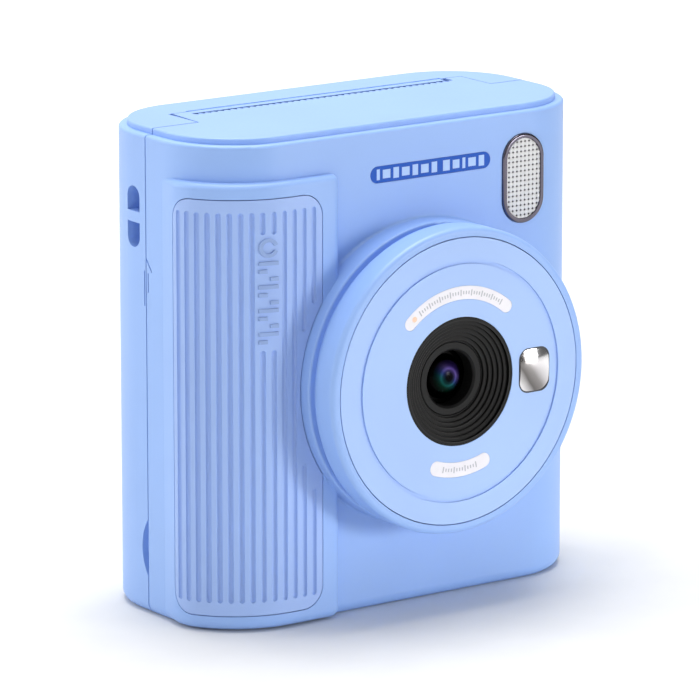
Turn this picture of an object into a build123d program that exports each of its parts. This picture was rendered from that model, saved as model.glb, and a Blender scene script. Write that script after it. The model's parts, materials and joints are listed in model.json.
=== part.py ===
from build123d import *
from math import atan, cos, pi, radians, sin, sqrt, tan
import os

# Instant-print camera for children. Millimetres, +Z up, +X to the right seen from the front.
# The lens looks along -Y. The origin is the middle of the underside.
# The front half is fixed. The back half is a door on a vertical hinge at +X and carries
# the screen, the buttons and the rubber roller of the printer.

# ---- casing ---------------------------------------------------------------
body_w = 92.0
body_d = 43.2
body_h = 95.6
corner_r = 17.0
wall = 2.0
bottom_r = 2.2
plateau_inset = 1.7
plateau_h = 1.2
edge_r, plateau_edge_r = 0.6, 0.35
body_top = body_h - plateau_h
roof_z = body_top - wall
side_x = body_w / 2
front_y = -body_d / 2
back_y = body_d / 2
inner_front_y = front_y + wall
inner_back_y = back_y - wall
corner_x = side_x - corner_r
corner_y = back_y - corner_r
seam_y = 0.5
seam_gap = 0.3
front_edge_y = seam_y - seam_gap / 2
back_edge_y = seam_y + seam_gap / 2

# ---- paper path -----------------------------------------------------------
paper_x, paper_w, paper_t = 0.75, 57.0, 0.1
paper_y = 10.28
slot_left, slot_right, slot_back_y, exit_y = -29.8, 32.4, 9.35, 8.85
lip_swing = 0.9
shelf_back_y, shelf_d = 11.4, 0.16
tongue_left, tongue_right, tongue_taper, tongue_gap = -33.7, 36.1, 0.75, 0.2
tongue_y, tongue_back_y = 7.9, 10.5
tooth_count, tooth_h, notch_w, notch_d = 40, 1.35, 1.0, 0.9
tear_root_y, tear_w, tear_bar_z = tongue_y - notch_d, 2.1, 94.7
tooth_pitch = 60 / tooth_count
roll_y, roll_z, roll_r, core_r, stub_r = -0.5, 60.0, 13.5, 6.2, 2.4
bin_r, bin_t, bin_half_w = 14.3, 1.2, 30.0

# ---- lens -----------------------------------------------------------------
lens_x, lens_z = 2.9, 46.3
face_y = -34.4
collar_r, collar_y, collar_wall, cove_r = 30.0, -26.6, 2.0, 0.5
ring_r, ring_back_y, ring_edge_r = 30.1, -28.8, 1.0
neck_r, ring_bore_r = 28.7, 26.9
disc_r, disc_t, disc_gap = 28.1, 1.4, 0.2
groove_r, groove_w, groove_d = 23.4, 0.8, 0.35
hood_r, hood_lip, hood_steps, step_r, step_d, lip_round = 12.6, 0.7, 6, 0.86, 0.48, 0.24
module_r, module_y, module_back_y = 7.2, face_y + 2.9, -27.4
pupil_r, pupil_bevel = 5.5, 0.4
dome_r, dome_y, glass_y = 5.4, face_y + 3.4, -28.5

# ---- grip -----------------------------------------------------------------
grip_rise, grip_low, grip_top = 2.4, 0.4, 87.5
grip_right_x, grip_edge_r = -17.7, 1.6
grip_r = corner_r + grip_rise
grip_y = front_y - grip_rise
fade_y = -corner_y - 0.6
bend_start = 212
pad_t, pad_gap, pad_corner_r = 1.3, 0.18, 4.4
pad_notch_r = collar_r + pad_gap
pad_bottom, pad_top = 3.35, 84.45
pad_left_y, pad_right_x = -9.9, -22.1
rib_count, rib_pitch, corner_pitch, rib_last_x, flat_ribs = 14, 2.24, 2.12, -24.05, 6
rib_groove_r, rib_low, rib_high = 0.55, 6.4, 81.55
band_low, band_high = 54.8, 78.25

# ---- hinge ----------------------------------------------------------------
hinge_x, hinge_y = side_x + 2.2, seam_y
knuckle_r, pin_r, knuckle_l, knuckle_gap = 1.9, 0.8, 6.0, 0.15
hinge_stations = (12.0, 68.0)
running_gap = 0.05

# ---- gears ----------------------------------------------------------------
tooth_module = 0.6
pressure_angle = radians(25)
backlash = 0.07
platen_teeth, idler_teeth, pinion_teeth = 12, 20, 10
gear_x, gear_t = -33.6, 2.2
platen_y, platen_z, platen_r, shaft_r = 14.55, 85.0, 4.0, 1.5
idler_y = platen_y - tooth_module * (platen_teeth + idler_teeth) / 2
pinion_direction = radians(188)
pinion_reach = tooth_module * (idler_teeth + pinion_teeth) / 2
motor_y = idler_y + pinion_reach * cos(pinion_direction)
motor_z = platen_z + pinion_reach * sin(pinion_direction)

# ---- back of the camera ---------------------------------------------------
screen_z, screen_w, screen_h = 57.0, 48.0, 38.0
board_back_y, board_t = 17.0, 1.1
button_front_y, button_travel = back_y + 0.7, 0.8
pad_x, pad_z, pad_reach = -17.0, 21.0, 6.2
# name: centre x, centre z, radius
buttons = {
    "shutter_button": (20.0, 25.0, 5.5),
    "power_button": (-3.0, 13.0, 2.2),
    "menu_button": (-3.0, 21.0, 2.2),
    "play_button": (-3.0, 29.0, 2.2),
    "ok_button": (pad_x, pad_z, 2.8),
    "up_button": (pad_x, pad_z + pad_reach, 2.1),
    "down_button": (pad_x, pad_z - pad_reach, 2.1),
    "left_button": (pad_x + pad_reach, pad_z, 2.1),
    "right_button": (pad_x - pad_reach, pad_z, 2.1),
}
speaker_x, speaker_z, speaker_r = 9.0, 12.0, 4.5

# ---- left side ------------------------------------------------------------
strap_y, strap_z, strap_l, strap_w, strap_bar = 4.8, 78.0, 12.0, 4.4, 2.1
notch_r, notch_z = 9.06, 13.2
catch_w, catch_d = 0.32, 0.7

os.makedirs("parts", exist_ok=True)


def save(piece, name):
    """Label a finished piece and write its STEP file."""
    piece.label = name
    export_step(piece, f"parts/{name}.step")


def block(low, high, mode=Mode.ADD):
    """Box from its lowest to its highest corner."""
    with Locations(tuple((a + b) / 2 for a, b in zip(low, high))):
        Box(*(b - a for a, b in zip(low, high)), mode=mode)


def disc(radius, y0, y1, x=lens_x, z=lens_z, mode=Mode.ADD):
    """Cylinder along Y from y0 to y1."""
    with Locations(Location((x, (y0 + y1) / 2, z), (90, 0, 0))):
        Cylinder(radius, abs(y1 - y0), mode=mode)


def rod(radius, x0, x1, y, z, mode=Mode.ADD):
    """Cylinder along X from x0 to x1."""
    with Locations(Location(((x0 + x1) / 2, y, z), (0, 90, 0))):
        Cylinder(radius, abs(x1 - x0), mode=mode)


def post(radius, z0, z1, x, y, mode=Mode.ADD):
    """Cylinder along Z from z0 to z1."""
    with Locations((x, y, (z0 + z1) / 2)):
        Cylinder(radius, z1 - z0, mode=mode)


def stadium(width, height, y0, y1, x, z, mode=Mode.ADD):
    """Round-ended prism along Y, its long way along X or Z."""
    turn = 0 if width > height else 90
    with BuildSketch(Plane(origin=(x, y0, z), x_dir=(1, 0, 0), z_dir=(0, 1, 0))) as outline:
        SlotOverall(max(width, height), min(width, height), rotation=turn)
    extrude(outline.sketch, amount=y1 - y0, mode=mode)


def rounded_block(inset, z0, z1, mode=Mode.ADD):
    """Prism with the camera's plan outline, drawn in by inset."""
    with BuildSketch(Plane.XY.offset(z0)) as outline:
        RectangleRounded(body_w - 2 * inset, body_d - 2 * inset, corner_r - inset)
    extrude(outline.sketch, amount=z1 - z0, mode=mode)


# ---- shared shapes --------------------------------------------------------
with BuildPart() as casing:
    rounded_block(0, 0, body_top)
    fillet(casing.edges().group_by(Axis.Z)[0], bottom_r)
    fillet(casing.edges().group_by(Axis.Z)[-1], edge_r)
    rounded_block(plateau_inset, body_top, body_h)
    fillet(casing.edges().group_by(Axis.Z)[-1], plateau_edge_r)


def grip_line(inset):
    """The grip's outer line in plan, drawn in by inset: a soft start, the corner, the flat."""
    radius = grip_r - inset
    start = radians(bend_start)
    bend_point = (-corner_x + radius * cos(start), -corner_y + radius * sin(start))
    with BuildLine() as line:
        Spline(
            (-side_x + inset, fade_y),
            (-side_x - 0.75 + inset, pad_left_y),
            bend_point,
            tangents=((-0.1, -1), (-sin(start), cos(start))),
        )
        CenterArc((-corner_x, -corner_y), radius, bend_start, 270 - bend_start)
        Line((-corner_x, grip_y + inset), (grip_right_x - grip_edge_r, grip_y + inset))
        CenterArc((grip_right_x - grip_edge_r, grip_y + grip_edge_r), grip_edge_r - inset, 270, 90)
    return line.line


def grip_prism(inset, z0, z1, mode=Mode.ADD):
    """The region inside the grip's line, from z0 to z1."""
    with BuildSketch(Plane.XY.offset(z0)) as outline:
        with BuildLine():
            add(grip_line(inset))
            Polyline(
                (grip_right_x - inset, grip_y + grip_edge_r),
                (grip_right_x - inset, -12 + 2 * inset),
                (-38, -4 + 2 * inset),
                (-side_x + inset, fade_y),
            )
        make_face()
    extrude(outline.sketch, amount=z1 - z0, mode=mode)


def window(span, grow, plane):
    """Keep only what lies inside a round-cornered window seen along the plane's normal."""
    width, height = span[1] - span[0], pad_top - pad_bottom + 2 * grow
    with BuildSketch(plane) as frame:
        with Locations(((span[0] + span[1]) / 2, (pad_top + pad_bottom) / 2)):
            RectangleRounded(width, height, pad_corner_r + grow)
    extrude(frame.sketch, amount=body_w, both=True, mode=Mode.INTERSECT)


def grip_plate(grow):
    """The ribbed plate's outline and thickness, grown by the gap for its recess."""
    with BuildPart() as plate:
        grip_prism(0, pad_bottom - grow, pad_top + grow)
        grip_prism(pad_t, pad_bottom - grow, pad_top + grow, mode=Mode.SUBTRACT)
        window((-90, pad_right_x + grow), grow, Plane.XZ)
        window((-90, pad_left_y + grow), grow, Plane.YZ)
        disc(pad_notch_r - grow, -40, 0, mode=Mode.SUBTRACT)
    return plate.part


# ---- front half: outer pieces ---------------------------------------------
with BuildPart() as grip_block:
    grip_prism(0, grip_low, grip_top)
    rim = grip_block.edges().filter_by(lambda e: abs(e.tangent_at(0.5).Z) < 0.1)
    rim = rim.filter_by(lambda e: e.center().Y < -20 or e.center().X < -45.5)
    fillet(rim.group_by(Axis.Z)[0], bottom_r * 0.8)
    fillet(rim.group_by(Axis.Z)[-1], 1.2)

with BuildPart() as collar:
    disc(collar_r, collar_y, front_y + 1)
    fillet(collar.edges().group_by(Axis.Y)[0], 0.5)
    # cove where the collar meets the front face
    cove_x, cove_y = lens_x + collar_r + cove_r, front_y - cove_r
    with BuildSketch(Plane.XY.offset(lens_z)) as cove:
        Polygon(
            (cove_x, cove_y),
            (cove_x, front_y + wall / 2),
            (cove_x - cove_r - 0.5, front_y + wall / 2),
            (cove_x - cove_r - 0.5, cove_y),
            align=None,
        )
        with Locations((cove_x, cove_y)):
            Circle(cove_r, mode=Mode.SUBTRACT)
    revolve(cove.sketch, axis=Axis((lens_x, 0, lens_z), (0, 1, 0)))

board_screws = [(-22.0, 24.0), (26.0, 24.0), (-22.0, 69.0), (26.0, 69.0)]
frame_screws = [(-18.0, 79.0), (19.5, 79.0)]
board_y = inner_front_y + 1.0
frame_y = -9.5
port_y, port_z, card_z = -3.2, 42.6, 57.0
flash_x, flash_z = 27.4, 81.2
flash_w, flash_h, flash_rim, flash_fit = 10.0, 17.8, 0.9, 0.05
pill_x, pill_z, pill_w, pill_h, pill_t = 5.2, 85.85, 28.6, 3.25, 0.35

with BuildPart() as front_shell:
    add(casing.part)
    add(grip_block.part)
    add(collar.part)
    rounded_block(wall, wall, roof_z, mode=Mode.SUBTRACT)
    disc(collar_r - collar_wall, collar_y, front_y, mode=Mode.SUBTRACT)
    disc(6.5, front_y, inner_front_y, mode=Mode.SUBTRACT)
    add(grip_plate(pad_gap), mode=Mode.SUBTRACT)
    # open back, with the roof's tongue reaching over to the paper slot
    block((-60, front_edge_y, -1), (60, 30, roof_z), mode=Mode.SUBTRACT)
    with BuildSketch(Plane.XY.offset(roof_z)) as behind_seam:
        with Locations((0, front_edge_y + 15)):
            Rectangle(120, 30)
        Polygon(
            (tongue_left, front_edge_y - 1),
            (tongue_right, front_edge_y - 1),
            (tongue_right, tongue_back_y),
            (slot_right, tongue_back_y),
            (slot_right, tongue_y),
            (slot_left, tongue_y),
            (slot_left, tongue_back_y),
            (tongue_left + tongue_taper, tongue_back_y),
            align=None,
            mode=Mode.SUBTRACT,
        )
    extrude(amount=5, mode=Mode.SUBTRACT)
    tear_low, tear_high = paper_x - 30.05, paper_x + 30.05
    tear_y = tear_root_y - tear_w
    block((tear_low, tear_y, tear_bar_z), (tear_high, 12, tear_bar_z + 0.6), mode=Mode.SUBTRACT)
    with BuildSketch(Plane.XY.offset(tear_bar_z)) as edge_notches:
        for i in range(tooth_count + 1):
            x = paper_x - 30 + i * tooth_pitch
            Polygon(
                (x - notch_w / 2, tongue_y + 0.05),
                (x, tear_root_y),
                (x + notch_w / 2, tongue_y + 0.05),
                align=None,
            )
    extrude(edge_notches.sketch, amount=2, mode=Mode.SUBTRACT)
    # flash window, label recess, sockets
    window_w, window_h = flash_w + 2 * flash_fit, flash_h + 2 * flash_fit
    stadium(window_w, window_h, front_y - 1, inner_front_y + 1, flash_x, flash_z, mode=Mode.SUBTRACT)
    recess_w, recess_h = pill_w + 0.1, pill_h + 0.1
    stadium(recess_w, recess_h, front_y - 1, front_y + pill_t, pill_x, pill_z, mode=Mode.SUBTRACT)
    block((43, port_y - 1.9, port_z - 4.7), (47, port_y + 1.9, port_z + 4.7), mode=Mode.SUBTRACT)
    block((43, port_y - 1.9, card_z - 6.1), (47, port_y - 0.1, card_z + 6.1), mode=Mode.SUBTRACT)
    # slit and sloping line of the door catch
    block((-side_x - 1, -0.35, 63.9), (-side_x + catch_d, -0.35 + catch_w, 67.7), mode=Mode.SUBTRACT)
    with BuildSketch(Plane.YZ.offset(-side_x - 1)) as catch_line:
        Polygon((0.35, 70.1), (0.35, 70.6), (-1.45, 68.3), (-1.45, 67.8), align=None)
    extrude(amount=1 + catch_d, mode=Mode.SUBTRACT)
    # screw bosses
    for x, z in board_screws:
        disc(1.9, inner_front_y - 0.5, board_y, x, z)
        disc(0.8, inner_front_y - 0.6, board_y, x, z, mode=Mode.SUBTRACT)
    for x, z in frame_screws:
        disc(2.4, inner_front_y - 0.5, frame_y, x, z)
        disc(0.9, frame_y - 3, frame_y, x, z, mode=Mode.SUBTRACT)
    # outer hinge knuckles, two to a station
    for z in hinge_stations:
        for z0 in (z, z + 2 * knuckle_l):
            post(knuckle_r, z0, z0 + knuckle_l, hinge_x, hinge_y)
            block((side_x - 1, hinge_y - 2.2, z0), (hinge_x, hinge_y - 0.3, z0 + knuckle_l))
        post(pin_r, z, z + 3 * knuckle_l, hinge_x, hinge_y, mode=Mode.SUBTRACT)
save(front_shell.part, "front_shell")

with BuildPart() as hinge_pins:
    for z in hinge_stations:
        post(pin_r, z, z + 3 * knuckle_l, hinge_x, hinge_y)
save(hinge_pins.part, "hinge_pins")

with BuildPart() as grip_panel:
    add(grip_plate(0))
    with BuildLine(mode=Mode.PRIVATE) as path:
        add(grip_line(0))
    surface = path.wires()[0]
    before_last = pi / 2 * grip_edge_r + grip_right_x - grip_edge_r - rib_last_x
    for i in range(rib_count):
        on_corner = max(i + 1 - flat_ribs, 0)
        along = surface.length - before_last - (i - on_corner) * rib_pitch
        along -= on_corner * corner_pitch
        spot = surface.position_at(along, position_mode=PositionMode.LENGTH)
        # the middle pair stops short of a plain band, the last two stop at the lens
        from_right = i + 1
        if from_right in (5, 6):
            spans = [(rib_low, band_low), (band_high, rib_high)]
        elif from_right == 1:
            spans = [(rib_low, 26.4), (63.8, rib_high)]
        elif from_right == 2:
            spans = [(rib_low, 31.6), (58.5, rib_high)]
        else:
            spans = [(rib_low, rib_high)]
        for z0, z1 in spans:
            post(rib_groove_r, z0, z1, spot.X, spot.Y, mode=Mode.SUBTRACT)
            with Locations((spot.X, spot.Y, z0), (spot.X, spot.Y, z1)):
                Sphere(rib_groove_r, mode=Mode.SUBTRACT)
save(grip_panel.part, "grip_panel")

with BuildPart() as tear_bar:
    with BuildSketch(Plane.XY.offset(tear_bar_z)):
        with Locations((paper_x, tear_root_y - tear_w / 2)):
            Rectangle(60, tear_w)
        for i in range(tooth_count):
            x0 = paper_x - 30 + i * tooth_pitch
            Polygon(
                (x0, tear_root_y - 0.1),
                (x0 + tooth_pitch, tear_root_y - 0.1),
                (x0 + tooth_pitch / 2, tear_root_y + tooth_h),
                align=None,
            )
    extrude(amount=0.6)
save(tear_bar.part, "tear_bar")

with BuildPart() as lens_ring:
    disc(ring_r, face_y, ring_back_y)
    fillet(lens_ring.edges().group_by(Axis.Y)[0], ring_edge_r)
    fillet(lens_ring.edges().group_by(Axis.Y)[-1], 0.3)
    disc(neck_r, ring_back_y, collar_y)
    disc(collar_r - collar_wall - 0.1, collar_y, collar_y + 3)
    disc(ring_bore_r, face_y, collar_y + 3, mode=Mode.SUBTRACT)
    disc(disc_r + disc_gap, face_y, face_y + disc_t, mode=Mode.SUBTRACT)
save(lens_ring.part, "lens_ring")

label_r, label_t = 17.4, 0.2
# centre line and width
arc_labels = {
    "upper_label": (CenterArc((lens_x, lens_z), label_r, 50.5, 82.0), 2.6),
    "lower_label": (CenterArc((lens_x, lens_z), label_r, 251.5, 38.0), 2.9),
}
mirror_x, mirror_z, mirror_w, mirror_h = 20.8, 46.2, 6.9, 8.4


def label_strip(arc, width, y0, y1, mode=Mode.ADD):
    """Curved strip with round ends, concentric with the lens."""
    with BuildSketch(Plane.XZ.offset(-y1)) as outline:
        SlotArc(arc, width)
    extrude(outline.sketch, amount=y1 - y0, mode=mode)


def mirror_pad(grow, y0, y1, mode=Mode.ADD):
    """Round-cornered prism of the small mirror."""
    with BuildSketch(Plane.XZ.offset(-y1)) as outline:
        with Locations((mirror_x, mirror_z)):
            RectangleRounded(mirror_w + 2 * grow, mirror_h + 2 * grow, 2 + grow)
    extrude(outline.sketch, amount=y1 - y0, mode=mode)


with BuildPart() as face_disc:
    disc(disc_r, face_y, face_y + disc_t)
    disc(hood_r + 0.08, face_y, face_y + disc_t, mode=Mode.SUBTRACT)
    with BuildSketch(Plane.XZ.offset(-face_y)):
        with Locations((lens_x, lens_z)):
            Circle(groove_r + groove_w / 2)
            Circle(groove_r - groove_w / 2, mode=Mode.SUBTRACT)
    extrude(amount=-groove_d, mode=Mode.SUBTRACT)
    for arc, width in arc_labels.values():
        label_strip(arc, width + 0.1, face_y, face_y + label_t, mode=Mode.SUBTRACT)
    mirror_pad(0.1, face_y, face_y + 0.9, mode=Mode.SUBTRACT)
save(face_disc.part, "face_disc")

for name, (arc, width) in arc_labels.items():
    with BuildPart() as label:
        label_strip(arc, width, face_y, face_y + label_t)
    save(label.part, name)

with BuildPart() as selfie_mirror:
    mirror_pad(0, face_y - 0.6, face_y + 0.9)
    with Locations((mirror_x, face_y - 0.6 + 16, mirror_z)):
        Sphere(16, mode=Mode.INTERSECT)
save(selfie_mirror.part, "selfie_mirror")

def is_step_lip(edge):
    """True for the raised edge of one of the hood's steps."""
    step = round((hood_r - hood_lip - edge.radius) / step_r)
    top = face_y if step == 0 else face_y + 0.1 + step_d * step
    on_step = abs(hood_r - hood_lip - step * step_r - edge.radius) < 0.01
    return 0 <= step < hood_steps and on_step and abs(edge.center().Y - top) < 0.01


with BuildPart() as lens_hood:
    disc(hood_r, face_y + 0.05, -28.5)
    disc(16, face_y + disc_t, face_y + disc_t + 1.2)
    for i in range(hood_steps):
        depth = 0.1 + step_d * (i + 1)
        disc(hood_r - hood_lip - i * step_r, face_y, face_y + depth, mode=Mode.SUBTRACT)
    lips = lens_hood.edges().filter_by(GeomType.CIRCLE).filter_by(is_step_lip)
    fillet(lips, lip_round)
    disc(module_r + 0.1, face_y, -28.5, mode=Mode.SUBTRACT)
save(lens_hood.part, "lens_hood")

with BuildPart() as lens_barrel:
    disc(module_r, module_y, module_back_y)
    disc(pupil_r, module_y, module_back_y, mode=Mode.SUBTRACT)
    rims = lens_barrel.edges().group_by(Axis.Y)[0].sort_by(SortBy.LENGTH)
    chamfer(rims[0], pupil_bevel)
    fillet(rims[-1], 0.15)
save(lens_barrel.part, "lens_barrel")

with BuildPart() as lens_glass:
    disc(dome_r, dome_y, glass_y)
    with Locations((lens_x, dome_y + dome_r, lens_z)):
        Sphere(dome_r, mode=Mode.INTERSECT)
    disc(pupil_r - running_gap, glass_y, module_back_y)
save(lens_glass.part, "lens_glass")

with BuildPart() as camera_module:
    block((lens_x - 6, -27.4, lens_z - 6), (lens_x + 6, -22.6, lens_z + 6))
    block((lens_x - 8, -22.6, lens_z - 8), (lens_x + 8, front_y, lens_z + 8))
save(camera_module.part, "camera_module")

with BuildPart() as flash_bezel:
    hole_w, hole_h = flash_w - 2 * flash_rim, flash_h - 2 * flash_rim
    stadium(flash_w, flash_h, front_y - 0.5, inner_front_y + 0.7, flash_x, flash_z)
    fillet(flash_bezel.edges().group_by(Axis.Y)[0], 0.4)
    stadium(hole_w, hole_h, front_y - 1, inner_front_y + 0.7, flash_x, flash_z, mode=Mode.SUBTRACT)
save(flash_bezel.part, "flash_bezel")

with BuildPart() as flash_lens:
    lens_w, lens_h = hole_w - 2 * flash_fit, hole_h - 2 * flash_fit
    stadium(lens_w, lens_h, front_y - 0.3, front_y + 0.9, flash_x, flash_z)
save(flash_lens.part, "flash_lens")

with BuildPart() as flash_reflector:
    bowl_w, bowl_h = lens_w - 1.6, lens_h - 1.6
    stadium(lens_w, lens_h, front_y + 1.0, inner_front_y + 0.7, flash_x, flash_z)
    stadium(bowl_w, bowl_h, front_y + 1.0, inner_front_y + 0.2, flash_x, flash_z, mode=Mode.SUBTRACT)
save(flash_reflector.part, "flash_reflector")

with BuildPart() as flash_board:
    block((22, inner_front_y + 0.75, 74.6), (33, inner_front_y + 1.75, 90.2))
save(flash_board.part, "flash_board")

with BuildPart() as front_label:
    stadium(pill_w, pill_h, front_y, front_y + pill_t, pill_x, pill_z)
save(front_label.part, "front_label")

# ---- front half: electronics ----------------------------------------------
with BuildPart() as main_board:
    block((-26, board_y, 20), (30, board_y + 1.2, 73))
    block((-8, board_y + 1.2, 30), (2, board_y + 2.2, 40))
    block((8, board_y + 1.2, 31), (15, board_y + 2.1, 38))
    block((-20, board_y + 1.2, 31), (-13, board_y + 2.4, 42))
    for x, z in board_screws:
        disc(0.8, board_y, board_y + 1.2, x, z, mode=Mode.SUBTRACT)
save(main_board.part, "main_board")

with BuildPart() as case_screws:
    for x, z in board_screws:
        disc(0.8, inner_front_y, board_y + 1.2, x, z)
        disc(1.5, board_y + 1.2, board_y + 1.9, x, z)
    for x, z in frame_screws:
        disc(0.9, frame_y - 2.8, frame_y + 1, x, z)
        disc(1.8, frame_y + 1, frame_y + 1.9, x, z)
save(case_screws.part, "case_screws")

with BuildPart() as port_board:
    block((34.5, port_y - 3.0, 36), (43.5, port_y - 1.8, 65))
save(port_board.part, "port_board")

with BuildPart() as usb_port:
    block((38.5, port_y - 1.8, port_z - 4.6), (45.8, port_y + 1.8, port_z + 4.6))
    fillet(usb_port.edges().filter_by(Axis.X), 1.4)
    block((40, port_y - 1.4, port_z - 4.2), (46, port_y + 1.4, port_z + 4.2), mode=Mode.SUBTRACT)
    block((39.8, port_y - 0.35, port_z - 3.3), (45, port_y + 0.35, port_z + 3.3))
save(usb_port.part, "usb_port")

with BuildPart() as card_slot:
    block((34.5, port_y - 1.8, card_z - 6), (45.8, port_y - 0.2, card_z + 6))
    block((36, port_y - 1.4, card_z - 5.5), (46, port_y - 0.6, card_z + 5.5), mode=Mode.SUBTRACT)
save(card_slot.part, "card_slot")

with BuildPart() as battery_tray:
    block((-26, -12, wall), (28, -2, 14))
    block((-24.8, -10.8, wall + 1.2), (26.8, -3.2, 14), mode=Mode.SUBTRACT)
save(battery_tray.part, "battery_tray")

with BuildPart() as battery:
    block((-24.6, -10.6, wall + 1.2), (26.6, -3.4, 39))
    fillet(battery.edges().filter_by(Axis.X), 1.5)
save(battery.part, "battery")

# ---- front half: paper bin and printer ------------------------------------
with BuildPart() as roll_bin:
    with BuildSketch(Plane.YZ.offset(paper_x - bin_half_w)):
        with Locations((roll_y, roll_z)):
            Circle(bin_r + bin_t)
            Circle(bin_r, mode=Mode.SUBTRACT)
        with Locations((roll_y, roll_z + 20)):
            Rectangle(60, 40, mode=Mode.SUBTRACT)
        with Locations((roll_y + 7 + 15, roll_z - 10)):
            Rectangle(30, 30, mode=Mode.SUBTRACT)
    extrude(amount=2 * bin_half_w)
    for x0 in (paper_x - bin_half_w - bin_t, paper_x + bin_half_w):
        seat_r = stub_r + running_gap
        low, high = (x0, roll_y, roll_z - seat_r), (x0 + bin_t, 11, roll_z + seat_r)
        block((x0, inner_front_y + 0.5, 44), (x0 + bin_t, 11, 74))
        block(low, high, mode=Mode.SUBTRACT)
        rod(seat_r, x0, x0 + bin_t, roll_y, roll_z, mode=Mode.SUBTRACT)
save(roll_bin.part, "roll_bin")

with BuildPart() as roll_core:
    rod(core_r, paper_x - 28.8, paper_x + 28.8, roll_y, roll_z)
    rod(4.6, paper_x - 28.8, paper_x - 4, roll_y, roll_z, mode=Mode.SUBTRACT)
    rod(4.6, paper_x + 4, paper_x + 28.8, roll_y, roll_z, mode=Mode.SUBTRACT)
    for side in (-1, 1):
        rod(4.6, paper_x + side * 27.6, paper_x + side * 28.8, roll_y, roll_z)
        rod(stub_r, paper_x + side * 27.6, paper_x + side * 31.0, roll_y, roll_z)
save(roll_core.part, "roll_core")

with BuildPart() as paper_roll:
    rod(roll_r, paper_x - paper_w / 2, paper_x + paper_w / 2, roll_y, roll_z)
    rod(core_r, paper_x - paper_w / 2, paper_x + paper_w / 2, roll_y, roll_z, mode=Mode.SUBTRACT)
save(paper_roll.part, "paper_roll")

with BuildPart() as paper_web:
    with BuildSketch(Plane.YZ.offset(paper_x - paper_w / 2)):
        Polygon(
            (roll_y + roll_r + 0.3, roll_z),
            (paper_y, platen_z - 4.5),
            (paper_y, platen_z + 5.1),
            (exit_y, 92.2),
            (exit_y, 93.5),
            (exit_y + paper_t, 93.5),
            (exit_y + paper_t, 92.2),
            (paper_y + paper_t, platen_z + 5.2),
            (paper_y + paper_t, platen_z - 4.5),
            (roll_y + roll_r + 0.3 + paper_t, roll_z),
            align=None,
        )
    extrude(amount=paper_w)
save(paper_web.part, "paper_web")

frame_low, frame_high, plate_t = -31.0, 31.9, 1.0
motor_x = -34.9
with BuildPart() as mech_frame:
    block((motor_x, frame_y, 74), (frame_high + plate_t, -1, 75.2))
    for x0, t in ((motor_x, 0.8), (frame_low, plate_t), (frame_high, plate_t)):
        block((x0, frame_y, 74), (x0 + t, 9.2, 91))
    block((frame_low + plate_t, 3.6, 77), (frame_high, 4.6, 90))
    block((frame_low + plate_t, frame_y, 75.2), (frame_high, frame_y + 1, 83))
    rod(1.0, motor_x, frame_low + plate_t, idler_y, platen_z, mode=Mode.SUBTRACT)
    rod(1.3, motor_x, motor_x + 0.8, motor_y, motor_z, mode=Mode.SUBTRACT)
    for x, z in frame_screws:
        disc(0.9, frame_y, frame_y + 1, x, z, mode=Mode.SUBTRACT)
save(mech_frame.part, "mech_frame")

with BuildPart() as print_head:
    block((paper_x - 29, 9.0, 79), (paper_x + 29, 9.9, 90))
    block((paper_x - 28.5, 9.9, platen_z - 1), (paper_x + 28.5, 10.15, platen_z + 1))
    block((paper_x - 29, 6.8, 79), (paper_x + 29, 9.0, 81))
save(print_head.part, "print_head")

with BuildPart() as head_spring:
    for x0 in (-20.0, 16.0):
        with BuildSketch(Plane.YZ.offset(x0)):
            Polygon(
                (4.6, 82), (5.0, 82), (9.0, 86), (5.0, 90), (4.6, 90),
                (4.6, 89.6), (8.3, 86), (4.6, 82.4),
                align=None,
            )
        extrude(amount=6)
save(head_spring.part, "head_spring")

with BuildPart() as feed_motor:
    rod(5.0, motor_x - 6, motor_x, motor_y, motor_z)
    rod(0.85, motor_x - 4, motor_x, motor_y, motor_z, mode=Mode.SUBTRACT)
save(feed_motor.part, "feed_motor")


def tooth_flank(teeth, steps=4):
    """Half a tooth's outline as (radius, half angle) from root to tip, with an involute flank."""
    pitch_r = tooth_module * teeth / 2
    base_r = pitch_r * cos(pressure_angle)
    tip_r = pitch_r + 0.8 * tooth_module
    root_r = pitch_r - 1.0 * tooth_module
    half = pi / (2 * teeth) - backlash / (2 * pitch_r) + tan(pressure_angle) - pressure_angle
    low = max(base_r, root_r)
    flank = []
    for i in range(steps + 1):
        r = low + (tip_r - low) * i / steps
        roll = sqrt(max((r / base_r) ** 2 - 1, 0))
        a = half - (roll - atan(roll))
        flank.append((r, a))
    return [(root_r, flank[0][1])] + flank if root_r < low else flank


def gear(teeth, phase, y, z, bore, x=gear_x, thickness=gear_t):
    """Spur gear on an axis along X, one tooth centred at phase."""
    flank = tooth_flank(teeth)
    points = []
    for k in range(teeth):
        middle = phase + 2 * pi * k / teeth
        points += [(r, middle - a) for r, a in flank]
        points += [(r, middle + a) for r, a in reversed(flank)]
    with BuildPart() as wheel:
        with BuildSketch(Plane.YZ.offset(x)):
            Polygon(*((y + r * cos(a), z + r * sin(a)) for r, a in points), align=None)
            with Locations((y, z)):
                Circle(bore, mode=Mode.SUBTRACT)
        extrude(amount=thickness)
    return wheel.part


def meshed_phase(teeth, phase, direction, other_teeth):
    """Phase that puts the other gear in mesh along the line of centres."""
    fraction = (direction - phase) * teeth / (2 * pi)
    return direction + pi - (0.5 - fraction) * 2 * pi / other_teeth


idler_phase = meshed_phase(platen_teeth, 0, pi, idler_teeth)
pinion_phase = meshed_phase(idler_teeth, idler_phase, pinion_direction, pinion_teeth)

with BuildPart() as idler_gear:
    add(gear(idler_teeth, idler_phase, idler_y, platen_z, 1.0 + running_gap))
save(idler_gear.part, "idler_gear")

with BuildPart() as idler_pin:
    rod(1.0, motor_x, frame_low + plate_t, idler_y, platen_z)
save(idler_pin.part, "idler_pin")

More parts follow.
